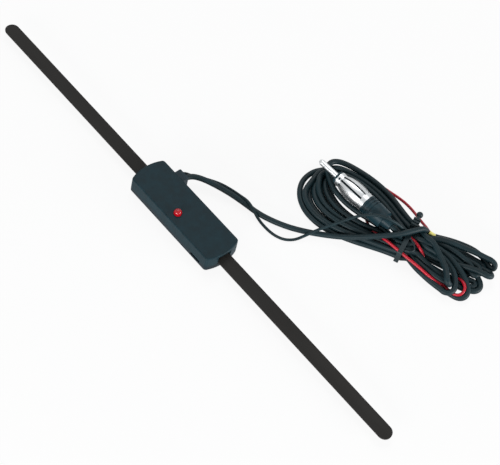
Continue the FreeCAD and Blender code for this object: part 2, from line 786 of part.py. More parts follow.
# Grommet and the leads' ends inside
def build_grommet():
    body = new_body("cable_grommet")
    left_lip = f"({GROMMET_LEFT} - GrommetFlangeLip)"
    right_lip = f"({GROMMET_RIGHT} + GrommetFlangeLip)"
    outline = sketch_on(body, "grommet_outline", height=PART_LINE)
    polygon(outline, [
        (left_lip, FLANGE_BACK), (right_lip, FLANGE_BACK), (right_lip, INNER_FACE),
        (GROMMET_RIGHT, INNER_FACE), (GROMMET_RIGHT, GROMMET_FACE), (GROMMET_LEFT, GROMMET_FACE),
        (GROMMET_LEFT, INNER_FACE), (left_lip, INNER_FACE),
    ])
    pad(body, outline, f"{ROOF_UNDER} - {PART_LINE} - FitClearance")
    block = sketch_on(body, "grommet_block", height=PART_LINE)
    rectangle(block, GROMMET_LEFT, GROMMET_RIGHT, f"({HALF_WIDTH} + FitClearance)", GROMMET_FACE)
    pad(body, block, "GrommetHeight")
    face = size(GROMMET_FACE)

    def outer_corner(edge):
        return upright(edge) and abs(edge.BoundBox.YMin - face) < TOLERANCE

    round_edges(body, "GrommetRounding", outer_corner)
    bores = sketch_on(body, "grommet_bores", role="XZ_Plane")
    circle(bores, COAX_X, "CoaxHeight", "CoaxDiameter")
    circle(bores, THIN_X, "ThinHeight", "ThinDiameter")
    pocket(body, bores, Midplane=True)


def build_lead_ends():
    tails = []
    cores = []
    for name, x, z, diameter in (("coax", COAX_X, "CoaxHeight", "CoaxDiameter"),
                                 ("thin", THIN_X, "ThinHeight", "ThinDiameter")):
        inner = f"({FLANGE_BACK} - TailLength)"
        tails.append(solid("Part::Cylinder", f"{name}_tail", (x, GROMMET_FACE, z), TOWARDS_BACK,
                           Radius=f"{diameter} / 2", Height=f"{GROMMET_FACE} - {inner}"))
        along = solid("Part::Cylinder", f"{name}_core", (x, inner, z), TOWARDS_BACK,
                      Radius="CoreDiameter / 2", Height="CoreLength")
        bend = f"({inner} - CoreLength)"
        knee = solid("Part::Sphere", f"{name}_knee", (x, bend, z), Radius="CoreDiameter / 2")
        drop = solid("Part::Cylinder", f"{name}_drop", (x, bend, BOARD_TOP),
                     Radius="CoreDiameter / 2", Height=f"{z} - {BOARD_TOP}")
        cores.append(fused(f"{name}_conductor", [along, knee, drop]))
    group("lead_tails", tails)
    group("lead_cores", cores)


# Radio plug, turned pieces along their own X axis from the tip of the pin
def plug_body(label):
    body = new_body(label)
    place(body, "PlugX", "PlugY", PLUG_Z, "PlugYaw")
    return body


def turned(label, profile):
    body = plug_body(label)
    sketch = sketch_on(body, label + "_profile")
    polygon(sketch, profile)
    revolve(body, sketch)
    return body


def build_plug():
    turned("plug_pin", [
        ("0", "0"), (SHELL_END, "0"), (SHELL_END, "PinShank / 2"), ("PinLength", "PinShank / 2"),
        ("PinLength", "PinDiameter / 2"), ("PinTip", "PinDiameter / 2"), ("0", "PinNose / 2"),
    ])
    turned("plug_insulator", [
        ("PinLength", "PinShank / 2"), (SHELL_END, "PinShank / 2"), (SHELL_END, "CoreRod / 2"),
        (f"{SHELL_START} + ShellFrontRing", "CoreRod / 2"),
        (f"{SHELL_START} + ShellFrontRing", "ShellFront / 2 - ShellWall"),
        (SHELL_START, "ShellFront / 2 - ShellWall"), (SHELL_START, "CollarDiameter / 2"),
        ("PinLength", "CollarDiameter / 2"),
    ])
    build_shell()
    grooves = []
    for i in range(int(SIZES["GripCount"])):
        near = f"({SHELL_END} + GripStart + {i} * GripPitch)"
        grooves += [(near, "BootDiameter / 2"), (near, "BootDiameter / 2 - GripDepth"),
                    (f"({near} + GripGroove)", "BootDiameter / 2 - GripDepth"),
                    (f"({near} + GripGroove)", "BootDiameter / 2")]
    spigot = f"({SHELL_END} - BootSpigot)"
    turned("plug_boot", [
        (SHELL_END, "0"), (SHELL_END, "CoreRod / 2"), (spigot, "CoreRod / 2"),
        (spigot, "ShellRear / 2 - ShellWall"), (SHELL_END, "ShellRear / 2 - ShellWall"),
        (SHELL_END, "BootDiameter / 2"), *grooves, (BOOT_END, "BootRear / 2"),
        (BOOT_END, "BootTail / 2"), (BOOT_TIP, "BootTailEnd / 2"), (BOOT_TIP, "0"),
    ])


def build_shell():
    # Spring sleeve: a front ring, slotted leaves that bulge outwards, and a rear ring.
    body = plug_body("plug_sleeve")
    profile = sketch_on(body, "sleeve_profile")
    front = f"({SHELL_START} + ShellFrontRing)"
    rear = f"({SHELL_END} - ShellRearRing)"
    crown = f"(({front} + {rear}) / 2)"
    outer = [(SHELL_START, "ShellFront / 2"), (front, "ShellFront / 2"), (crown, "ShellBulge / 2"),
             (rear, "ShellRear / 2"), (SHELL_END, "ShellRear / 2")]
    inner = [(x, f"{r} - ShellWall") for x, r in outer]
    rings = []
    for run in (outer, inner):
        points = [Vector(size(x), size(r), 0) for x, r in run]
        head = profile.addGeometry(Part.LineSegment(points[0], points[1]), False)
        tail = profile.addGeometry(Part.LineSegment(points[3], points[4]), False)
        arc = profile.addGeometry(Part.Arc(points[1], points[2], points[3]), False)
        top = profile.addGeometry(Part.Point(points[2]), True)
        start, end = (1, 2) if profile.getPoint(arc, 1).isEqual(points[1], TOLERANCE) else (2, 1)
        profile.addConstraint(Sketcher.Constraint("Coincident", head, 2, arc, start))
        profile.addConstraint(Sketcher.Constraint("Coincident", arc, end, tail, 1))
        profile.addConstraint(Sketcher.Constraint("PointOnObject", top, 1, arc))
        for edge, end, (x, r) in zip((head, head, top, tail, tail), (1, 2, 1, 1, 2), run):
            fix(profile, edge, end, x, r)
        rings.append(((head, 1, points[0]), (tail, 2, points[4])))
    for (edge_a, end_a, a), (edge_b, end_b, b) in zip(*rings):
        side = profile.addGeometry(Part.LineSegment(a, b), False)
        profile.addConstraint(Sketcher.Constraint("Coincident", edge_a, end_a, side, 1))
        profile.addConstraint(Sketcher.Constraint("Coincident", side, 2, edge_b, end_b))
    revolve(body, profile)

    slot = sketch_on(body, "leaf_slot")
    rectangle(slot, f"{front} - SlotIntoRing", f"{rear} + SlotIntoRing", "-SlotWidth / 2", "SlotWidth / 2")
    first = pocket(body, slot)
    pattern = body.newObject("PartDesign::PolarPattern", "leaf_slots")
    pattern.Originals = [first]
    pattern.Axis = (origin_feature(body, "X_Axis"), [""])
    pattern.Angle = 360
    bind(pattern, Occurrences="SlotCount")
    body.Tip = pattern
    doc.recompute()
    # Locking dimple in the front ring, in line with the slot next to the topmost one.
    dimple = body.newObject("PartDesign::SubtractiveCylinder", "sleeve_dimple")
    bind(dimple, Radius="DimpleDiameter / 2", Height="ShellBulge / 2")
    dimple.Placement = Placement(Vector(), Rotation(Vector(1, 0, 0), 360 / size("SlotCount")))
    place(dimple, f"{SHELL_START} + DimplePlace")
    doc.recompute()


# Hank of lead, its tie, and the stretches of lead that aren't wound
HANK_FRAME = Placement(Vector(size("HankX"), size("HankY"), 0), Rotation(Vector(0, 0, 1), size("HankAngle")))


def feature(label, shape, placement=None):
    item = doc.addObject("Part::Feature", label)
    item.Label = label
    item.Shape = shape
    if placement:
        item.Placement = placement
    return item


def tangent_points(centre, radius, tip):
    # Where the two tangents from a point touch a circle.
    reach = tip - centre
    bearing = math.atan2(reach.y, reach.x)
    spread = math.acos(radius / reach.Length)
    angles = (bearing + spread, bearing - spread)
    return [centre + Vector(math.cos(angle), math.sin(angle), 0) * radius for angle in angles]


def teardrop(centre, radius, tip, height):
    a, b = tangent_points(centre, radius, tip)
    crown = centre + (centre - tip).normalize() * radius
    edges = [Part.LineSegment(tip, a), Part.Arc(a, crown, b), Part.LineSegment(b, tip)]
    return Part.Face(Part.Wire([edge.toShape() for edge in edges])).extrude(Vector(0, 0, height))


def build_hank():
    height = size("WaistHeight")
    grip = size("TieWidth / 2 + TieGap")
    half_waist = size("WaistWidth / 2")
    far_left, far_right, near_right, near_left = (
        Vector(x * grip, y * half_waist, 0) for x, y in ((-1, 1), (1, 1), (1, -1), (-1, -1)))
    left = Vector(size("LeftLobeX"), size("LeftLobeY"), 0)
    right = Vector(size("RightLobeX"), size("RightLobeY"), 0)
    left_radius = size("LeftLobeRadius")
    right_radius = size("RightLobeRadius")
    left_far = tangent_points(left, left_radius, far_left)[0]
    left_near = tangent_points(left, left_radius, near_left)[1]
    right_far = tangent_points(right, right_radius, far_right)[1]
    right_near = tangent_points(right, right_radius, near_right)[0]
    edges = [
        Part.LineSegment(left_far, far_left), Part.LineSegment(far_left, far_right),
        Part.LineSegment(far_right, right_far),
        Part.Arc(right_far, right + Vector(right_radius, 0, 0), right_near),
        Part.LineSegment(right_near, near_right), Part.LineSegment(near_right, near_left),
        Part.LineSegment(near_left, left_near),
        Part.Arc(left_near, left - Vector(left_radius, 0, 0), left_far),
    ]
    shape = Part.Face(Part.Wire([edge.toShape() for edge in edges])).extrude(Vector(0, 0, height))

    tip = Vector(size("EyeTip"), 0, 0)
    shape = shape.cut(teardrop(left, size("LeftEyeRadius"), -tip, height))
    shape = shape.cut(teardrop(right, size("RightEyeRadius"), tip, height))

    lobe = size("LobeHeight")
    flat = size("WaistFlat")
    run = size("WaistRun")
    long = left_radius - left.x + right_radius + right.x
    profile = [(-long, lobe), (-run, lobe), (-flat, height), (flat, height), (run, lobe), (long, lobe),
               (long, 2 * height), (-long, 2 * height)]
    corners = [Vector(x, -long, z) for x, z in profile]
    above = Part.Face(Part.makePolygon(corners + corners[:1])).extrude(Vector(0, 2 * long, 0))
    shape = shape.cut(above)

    groove = Part.makeBox(2 * grip, 2 * long, size("TieThickness + 2 * TieGap"), Vector(-grip, -long, 0))
    return feature("cable_hank", shape.cut(groove).Solids[0], HANK_FRAME)


def build_tie():
    body = new_body("cable_tie")
    place(body, "HankX", "HankY", "0", "HankAngle")
    side = "(WaistWidth / 2 + TieGap)"
    low = "(TieThickness + TieGap)"
    high = "(WaistHeight + TieGap)"
    band = sketch_on(body, "tie_band", role="YZ_Plane")
    rectangle(band, f"-({side} + TieThickness)", f"{side} + TieThickness", "TieGap", f"{high} + TieThickness")
    rectangle(band, f"-{side}", side, low, high)
    pad(body, band, "TieWidth", Midplane=True)
    reach = size(f"{side} + TieThickness / 2")

    def across(outside):
        def chosen(edge):
            box = edge.BoundBox
            along = box.XLength > max(box.YLength, box.ZLength)
            return along and (abs(box.Center.y) > reach) == outside
        return chosen

    round_edges(body, "TieCorner + TieThickness / 2", across(True))
    round_edges(body, "TieCorner", across(False))

    head = body.newObject("PartDesign::AdditiveBox", "tie_head")
    bind(head, Length="TieHeadWidth", Width="TieHeadLength", Height="TieHeadHeight")
    place(head, "-TieHeadWidth / 2", "TieHeadPlace", f"{high} + TieThickness / 2")
    count = int(size("TieRidgeCount"))
    for i in range(count):
        ridge = body.newObject("PartDesign::AdditiveBox", f"tie_ridge_{i + 1}")
        bind(ridge, Length="TieHeadWidth", Width="TieRidge", Height="TieHeadHeight + TieRidgeHeight")
        along = f"TieHeadPlace + {i + 0.5} * TieHeadLength / {count} - TieRidge / 2"
        place(ridge, "-TieHeadWidth / 2", along, f"{high} + TieThickness / 2")
    tail = body.newObject("PartDesign::AdditiveCylinder", "tie_tail")
    tail.Placement = Placement(Vector(), Rotation(Vector(1, 0, 0), -90))
    tail_height = f"{high} + TieThickness / 2 + TieTail / 2"
    bind(tail, Radius="TieTail / 2", Height="TieKnobPlace - TieHeadPlace")
    place(tail, "0", "TieHeadPlace", tail_height)
    knob = body.newObject("PartDesign::AdditiveSphere", "tie_knob")
    bind(knob, Radius="TieKnob / 2")
    place(knob, "0", "TieKnobPlace", tail_height)
    doc.recompute()


def build_sleeve():
    # The sleeve lies along the slope of the hank's shoulder.
    run = Vector(size("WaistRun - WaistFlat"), 0, size("LobeHeight - WaistHeight"))
    off = Vector(-run.z, 0, run.x).normalize() * size("SleeveDiameter / 2 + PlugRest")
    along = size("SleeveX - WaistFlat") / run.x
    foot = Vector(size("WaistFlat"), size("SleeveY"), size("WaistHeight")) + run * along
    sleeve = solid("Part::Cylinder", "joint_sleeve", (), Radius="SleeveDiameter / 2", Height="SleeveLength")
    sleeve.Label = "joint_sleeve"
    sleeve.Placement = HANK_FRAME.multiply(Placement(foot + off, Rotation(Vector(0, 0, 1), run)))


def cord_path(points):
    # Straight runs joined by tangent arcs, each arc as large as its two runs allow.
    edges = []
    radii = []
    at = points[0]
    for before, corner, after in zip(points, points[1:], points[2:]):
        into = (corner - before).normalize()
        out = (after - corner).normalize()
        half_turn = into.getAngle(out) / 2
        trim = BEND_SHARE * min((corner - before).Length, (after - corner).Length)
        radius = trim / math.tan(half_turn)
        start = corner - into * trim
        end = corner + out * trim
        inward = (out - into).normalize()
        middle = corner + inward * (radius / math.cos(half_turn) - radius)
        edges += [Part.LineSegment(at, start).toShape(), Part.Arc(start, middle, end).toShape()]
        radii.append(radius)
        at = end
    edges.append(Part.LineSegment(at, points[-1]).toShape())
    return Part.Wire(edges), radii


def build_cord(label, points, diameter, ends_in):
    path, radii = cord_path(points)
    radius = diameter / 2
    section = Part.Wire(Part.makeCircle(radius, points[0], points[1] - points[0]))
    tube = path.makePipeShell([section], True, False)
    share = tube.Volume / (math.pi * radius ** 2 * path.Length)
    print(f"{label}: length {path.Length:.1f}, tightest radius {min(radii):.1f}, volume share {share:.4f}")
    if abs(share - 1) > VOLUME_TOLERANCE:
        raise ValueError(f"{label} is not a plain tube")
    for other in ends_in:
        tube = tube.cut(other.Shape)
    feature(label, max(tube.Solids, key=lambda piece: piece.Volume))


def build_cords(hank):
    coax = size("CoaxDiameter")
    thin = size("ThinDiameter")
    outwards = Vector(0, 1, 0)
    face = size(GROMMET_FACE)
    plug_frame = Placement(Vector(size("PlugX"), size("PlugY"), size(PLUG_Z)),
                           Rotation(Vector(0, 0, 1), size("PlugYaw")))
    plug_along = plug_frame.Rotation.multVec(Vector(1, 0, 0))
    boot_tip = plug_frame.multVec(Vector(size(BOOT_TIP), 0, 0))

    def lead(label, start, direction, straight, route, diameter):
        points = [start, start + direction * size(straight)] + [Vector(*point) for point in route]
        build_cord(label, points, diameter, [hank])

    coax_exit = Vector(size(COAX_X), face, size("CoaxHeight"))
    thin_exit = Vector(size(THIN_X), face, size("ThinHeight"))
    lead("coax_lead", coax_exit, outwards, "CoaxStraight", COAX_ROUTE, coax)
    lead("power_lead", thin_exit, outwards, "ThinStraight", THIN_ROUTE, thin)
    lead("plug_lead", boot_tip, plug_along, "PlugStraight", PLUG_ROUTE, coax)
    build_cord("red_lead", [HANK_FRAME.multVec(Vector(*point)) for point in RED_ROUTE], thin, [hank])


NODES = [
    "base_tray", "upper_cover", "adhesive_pad", "aerial_strip_right", "aerial_strip_left", "strip_screws",
    "strip_contacts", "circuit_board", "indicator_led", "component_leads", "amplifier_transistor",
    "transistor_legs", "electrolytic_capacitor", "ceramic_capacitors", "resistors", "choke_coil",
    "cable_grommet", "lead_tails", "lead_cores", "plug_pin", "plug_insulator", "plug_sleeve", "plug_boot",
    "cable_hank", "cable_tie", "joint_sleeve", "coax_lead", "power_lead", "red_lead", "plug_lead",
]


def check_and_write():
    for item in doc.Objects:
        if "Invalid" in item.State or "Error" in item.State:
            raise ValueError(f"{item.Name} failed: {item.State}")
    os.makedirs("parts", exist_ok=True)
    for label in NODES:
        shape = doc.getObjectsByLabel(label)[0].Shape
        if shape.isNull() or not shape.isValid() or shape.Volume <= 0:
            raise ValueError(f"{label} has no sound solid")
        shape.exportStep(f"parts/{label}.step")
        print(f"{label}: {len(shape.Solids)} solid(s), {shape.Volume:.1f} mm3")


build_tray()
build_cover()
build_tape()
build_strip("aerial_strip_right", False)
build_strip("aerial_strip_left", True)
build_fixings()
build_board(build_parts_on_board())
build_led()
build_transistor()
build_grommet()
build_lead_ends()
build_plug()
build_tie()
build_sleeve()
build_cords(build_hank())
doc.recompute()
check_and_write()
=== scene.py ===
import math
import bmesh
import bpy
import numpy as np
from mathutils import Matrix, Vector


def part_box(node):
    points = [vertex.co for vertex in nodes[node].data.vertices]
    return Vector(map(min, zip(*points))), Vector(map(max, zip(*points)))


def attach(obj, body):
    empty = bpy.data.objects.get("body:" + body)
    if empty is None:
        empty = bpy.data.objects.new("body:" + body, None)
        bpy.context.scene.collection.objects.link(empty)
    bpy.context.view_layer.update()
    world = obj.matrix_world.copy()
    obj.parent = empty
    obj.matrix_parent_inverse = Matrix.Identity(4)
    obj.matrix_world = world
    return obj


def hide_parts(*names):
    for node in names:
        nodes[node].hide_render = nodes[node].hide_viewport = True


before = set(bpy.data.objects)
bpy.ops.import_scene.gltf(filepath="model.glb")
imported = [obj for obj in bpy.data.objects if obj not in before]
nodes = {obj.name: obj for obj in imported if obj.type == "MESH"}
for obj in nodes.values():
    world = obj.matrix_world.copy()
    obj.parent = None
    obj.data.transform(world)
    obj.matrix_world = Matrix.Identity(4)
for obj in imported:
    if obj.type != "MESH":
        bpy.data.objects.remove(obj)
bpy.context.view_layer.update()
mm = 0.001  # route points and sizes below are in millimetres
print("frame loaded with", len(nodes), "pieces")

# Camera, at the photograph's viewing angle
view = dict(
    place=(251.4, -290.7, 552.8),
    right=(0.6486, 0.7434, 0.1633),
    up=(-0.6854, 0.4771, 0.5501),
    lens=87.7,
    sensorWidth=36.0,
)


def makeCamera():
    data = bpy.data.cameras.new("photoCamera")
    data.sensor_fit = "HORIZONTAL"
    data.sensor_width = view["sensorWidth"]
    data.lens = view["lens"]
    right = Vector(view["right"]).normalized()
    up = Vector(view["up"]).normalized()
    back = right.cross(up).normalized()
    up = back.cross(right)
    turn = Matrix((right, up, back)).transposed().to_4x4()
    camera = bpy.data.objects.new("photoCamera", data)
    camera.matrix_world = Matrix.Translation(Vector(view["place"]) * mm) @ turn
    bpy.context.scene.collection.objects.link(camera)
    bpy.context.scene.camera = camera


makeCamera()
print("camera placed")

# Finishes: one shader, its colour, gloss and grain varied by textures laid in the object's own space
mottle = dict(coarser=14, dark=0.3, light=0.7)  # broad mottling against the fine grain, ends of its ramp


def makeFinish(name, colour, roughness, grain=900.0, stretch=(1, 1, 1), bump=0.1, depth=0.00005,
               vary=0.25, roughVary=0.08, metallic=0.0, specular=0.5, turned=0.0):
    material = bpy.data.materials.new(name)
    material.use_nodes = True
    tree = material.node_tree
    shader = tree.nodes["Principled BSDF"]
    shader.inputs["Metallic"].default_value = metallic
    shader.inputs["Specular IOR Level"].default_value = specular

    def add(kind, **inputs):
        node = tree.nodes.new(kind)
        for key, value in inputs.items():
            node.inputs[key].default_value = value
        return node

    place = add("ShaderNodeTexCoord")
    mapping = add("ShaderNodeMapping", Scale=stretch)
    tree.links.new(place.outputs["Object"], mapping.inputs["Vector"])
    fine = add("ShaderNodeTexNoise", Scale=grain, Detail=4.0, Roughness=0.6)
    broad = add("ShaderNodeTexNoise", Scale=grain / mottle["coarser"], Detail=3.0, Roughness=0.55)
    for noise in (fine, broad):
        tree.links.new(mapping.outputs["Vector"], noise.inputs["Vector"])

    tint = add("ShaderNodeValToRGB")
    dark, light = tint.color_ramp.elements
    dark.position = mottle["dark"]
    light.position = mottle["light"]
    dark.color = tuple(c * (1 - vary) for c in colour) + (1,)
    light.color = tuple(min(1, c * (1 + vary)) for c in colour) + (1,)
    tree.links.new(broad.outputs["Fac"], tint.inputs["Fac"])
    tree.links.new(tint.outputs["Color"], shader.inputs["Base Color"])

    gloss = add("ShaderNodeMapRange")
    gloss.inputs["To Min"].default_value = max(0.02, roughness - roughVary)
    gloss.inputs["To Max"].default_value = min(1, roughness + roughVary)
    tree.links.new(broad.outputs["Fac"], gloss.inputs["Value"])
    tree.links.new(gloss.outputs["Result"], shader.inputs["Roughness"])

    relief = add("ShaderNodeBump", Strength=bump, Distance=depth)
    height = fine.outputs["Fac"]
    if turned:  # lines left by the lathe
        lines = add("ShaderNodeTexWave", Scale=turned, Distortion=1.5, Detail=2.0)
        lines.wave_type = "BANDS"
        lines.bands_direction = "X"
        tree.links.new(mapping.outputs["Vector"], lines.inputs["Vector"])
        height = lines.outputs["Fac"]
    tree.links.new(height, relief.inputs["Height"])
    tree.links.new(relief.outputs["Normal"], shader.inputs["Normal"])
    return material


finishes = {
    "mouldedHousing": dict(colour=(0.0084, 0.0225, 0.0295), roughness=0.5, grain=2600, bump=0.22,
                           specular=0.10),
    # painted shade: the tray is the same plastic as the cover, its colour darkened to stand for the shade
    # along the bottom of the box
    "trayPaintedShade": dict(colour=(0.005, 0.013, 0.019), roughness=0.5, grain=2600, bump=0.22, specular=0.15),
    "stripFilm": dict(colour=(0.019, 0.018, 0.017), roughness=0.72, grain=1800, stretch=(0.12, 1, 1),
                      bump=0.16, specular=0.15),
    "foamTape": dict(colour=(0.02, 0.021, 0.023), roughness=0.9, grain=1400, bump=0.6, depth=0.0002),
    "cordJacket": dict(colour=(0.004, 0.0145, 0.0185), roughness=0.5, grain=1500, bump=0.1, specular=0.2),
    "grommetRubber": dict(colour=(0.014, 0.028, 0.037), roughness=0.55, grain=1700, bump=0.2,
                          specular=0.15),
    "plugNickel": dict(colour=(0.54, 0.56, 0.57), roughness=0.32, metallic=1.0, grain=700, vary=0.05,
                       roughVary=0.05, turned=2600.0, bump=0.04, depth=0.00002),
    "bootPlastic": dict(colour=(0.008, 0.0255, 0.034), roughness=0.42, grain=2200, bump=0.18,
                        specular=0.18),
    "tieNylon": dict(colour=(0.007, 0.0165, 0.020), roughness=0.42, grain=1500, bump=0.12, specular=0.22),
    "redInsulation": dict(colour=(0.42, 0.006, 0.020), roughness=0.34, grain=1200, bump=0.08, vary=0.12,
                          specular=0.3),
    "yellowSleeve": dict(colour=(0.80, 0.72, 0.22), roughness=0.4, grain=900, bump=0.08, vary=0.1),
    "lampResin": dict(colour=(0.36, 0.001, 0.007), roughness=0.14, grain=300, bump=0.01, vary=0.12,
                      roughVary=0.03, specular=0.4),
    "screwZinc": dict(colour=(0.6, 0.6, 0.62), roughness=0.3, metallic=1.0, grain=900, vary=0.1),
    "contactBrass": dict(colour=(0.72, 0.52, 0.22), roughness=0.3, metallic=1.0, grain=900, vary=0.1),
    "tinnedWire": dict(colour=(0.62, 0.62, 0.6), roughness=0.32, metallic=1.0, grain=1200, vary=0.1),
    "boardLaminate": dict(colour=(0.30, 0.19, 0.07), roughness=0.6, grain=1600, stretch=(1, 0.2, 1),
                          bump=0.15),
    "transistorResin": dict(colour=(0.012, 0.012, 0.012), roughness=0.6, grain=2000, bump=0.2),
    "capacitorSleeve": dict(colour=(0.012, 0.016, 0.09), roughness=0.25, grain=900, bump=0.05),
    "ceramicDip": dict(colour=(0.50, 0.24, 0.05), roughness=0.45, grain=1100, bump=0.15),
    "resistorLacquer": dict(colour=(0.62, 0.48, 0.28), roughness=0.35, grain=900, bump=0.08),
    "chokeFerrite": dict(colour=(0.03, 0.03, 0.033), roughness=0.55, grain=1500, bump=0.2),
    "bareCopper": dict(colour=(0.68, 0.30, 0.14), roughness=0.3, metallic=1.0, grain=1000, vary=0.12),
}
material = {name: makeFinish(name, **values) for name, values in finishes.items()}

wears = {
    "mouldedHousing": ["upper_cover"],
    # the tray wears the cover's plastic darkened as painted shade
    "trayPaintedShade": ["base_tray"],
    "foamTape": ["adhesive_pad"],
    "stripFilm": ["aerial_strip_right", "aerial_strip_left"],
    "grommetRubber": ["cable_grommet"],
    "lampResin": ["indicator_led"],
    "plugNickel": ["plug_pin", "plug_sleeve"],
    "bootPlastic": ["plug_boot", "plug_insulator"],
    "tieNylon": ["cable_tie"],
    "yellowSleeve": ["joint_sleeve"],
    "redInsulation": ["red_lead"],
    "cordJacket": ["coax_lead", "power_lead", "plug_lead", "cable_hank", "lead_tails"],
    "screwZinc": ["strip_screws"],
    "contactBrass": ["strip_contacts"],
    "tinnedWire": ["component_leads", "transistor_legs"],
    "boardLaminate": ["circuit_board"],
    "transistorResin": ["amplifier_transistor"],
    "capacitorSleeve": ["electrolytic_capacitor"],
    "ceramicDip": ["ceramic_capacitors"],
    "resistorLacquer": ["resistors"],
    "chokeFerrite": ["choke_coil"],
    "bareCopper": ["lead_cores"],
}


def dress(piece, finish):
    piece.data.materials.clear()
    piece.data.materials.append(material[finish])


for finish, worn in wears.items():
    for name in worn:
        dress(nodes[name], finish)
print("finishes on", sum(len(worn) for worn in wears.values()), "pieces")


def addPiece(name, data):
    piece = bpy.data.objects.new(name, data)
    bpy.context.scene.collection.objects.link(piece)
    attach(piece, "root")
    return piece


# Cords: each a smooth spline through listed points, wound turns worked out by a loop
coax = dict(
    diameter=3.3,
    # from the box to the hank, its first point the exit
    lead=[
        (-17.6, 15.6, 7.2), (-17.4, 18.6, 7.2), (-12.6, 23.4, 6.6), (-3.4, 28.4, 5.2), (4.6, 31.9, 3.9),
        (13.0, 34.7, 2.6), (21.6, 36.8, 1.8), (30.4, 40.4, 1.7), (39.0, 45.3, 1.7), (47.0, 51.6, 1.7),
        (54.6, 58.4, 2.2), (62.4, 64.4, 4.6), (69.4, 70.6, 8.0), (75.6, 77.4, 11.0), (80.4, 83.2, 12.9),
        (84.6, 91.0, 13.3), (87.0, 97.8, 13.2), (88.8, 102.8, 11.4), (90.2, 104.2, 7.8),
    ],
    plugEnd=[(84.6, 88.2, 7.4), (82.4, 87.3, 11.0), (79.14, 86.61, 13.35), (76.14, 86.47, 13.35)],
    settled=5,  # last points of the lead, which settle with the hank
)
thinLead = dict(
    diameter=1.7,
    lead=[
        (-20.9, 15.6, 7.7), (-20.6, 17.6, 7.0), (-18.4, 20.6, 4.8), (-13.4, 25.2, 4.5), (-5.6, 30.4, 4.8),
        (1.4, 33.7, 3.9), (7.8, 35.5, 3.5), (12.6, 35.9, 4.6), (17.0, 35.2, 4.9), (21.2, 34.7, 3.3),
        (24.8, 34.7, 1.2), (30.2, 34.4, 0.9), (36.8, 34.9, 0.9), (42.6, 37.4, 0.9), (46.4, 42.2, 0.95),
        (48.2, 47.8, 2.2), (50.4, 53.8, 5.4), (53.4, 60.2, 8.2), (57.0, 66.6, 12.2), (61.4, 73.4, 17.0),
        (66.6, 79.2, 20.0), (71.4, 82.8, 20.4), (75.8, 86.0, 18.6), (79.4, 89.6, 15.4), (82.4, 92.0, 11.8),
        (84.9, 93.2, 9.0),
    ],
    settled=7,
)
redLead = dict(
    diameter=1.7,
    # along the hank, across it, height
    route=[
        (-0.2, 1.4, 9.0), (2.0, 0.9, 9.2), (6.6, -1.5, 8.6), (11.4, -3.8, 7.2), (13.8, -5.8, 2.6),
        (15.8, -9.4, 1.2), (18.8, -12.4, 2.4), (22.6, -13.4, 4.2), (27.6, -13.8, 3.8), (32.2, -14.4, 2.6),
        (36.4, -16.4, 1.6), (40.2, -15.6, 2.6), (41.4, -12.4, 4.2), (40.4, -8.8, 5.0), (37.0, -6.0, 4.6),
        (33.4, -5.4, 1.6), (30.6, -8.4, 0.9), (30.6, -12.6, 0.9), (29.0, -15.6, 2.4), (24.4, -15.2, 4.0),
        (18.0, -14.2, 5.2), (12.4, -12.8, 6.2), (4.8, -11.5, 7.2), (-1.8, -10.0, 7.8), (-9.4, -8.2, 8.2),
        (-15.0, -5.8, 5.2), (-20.0, -2.6, 2.4), (-24.0, 1.4, 1.2), (-27.4, 7.0, 0.95), (-30.2, 13.6, 0.9),
        (-32.8, 20.6, 0.9), (-34.4, 27.4, 0.9), (-30.4, 31.0, 0.9), (-21.6, 29.6, 0.9), (-14.6, 28.8, 0.9),
        (-8.0, 26.8, 0.9), (-3.0, 23.9, 1.2), (1.4, 20.2, 2.4), (5.2, 16.6, 4.4), (7.6, 13.2, 7.2),
        (8.2, 10.6, 9.2), (9.5, 9.6, 9.65),
    ],
)
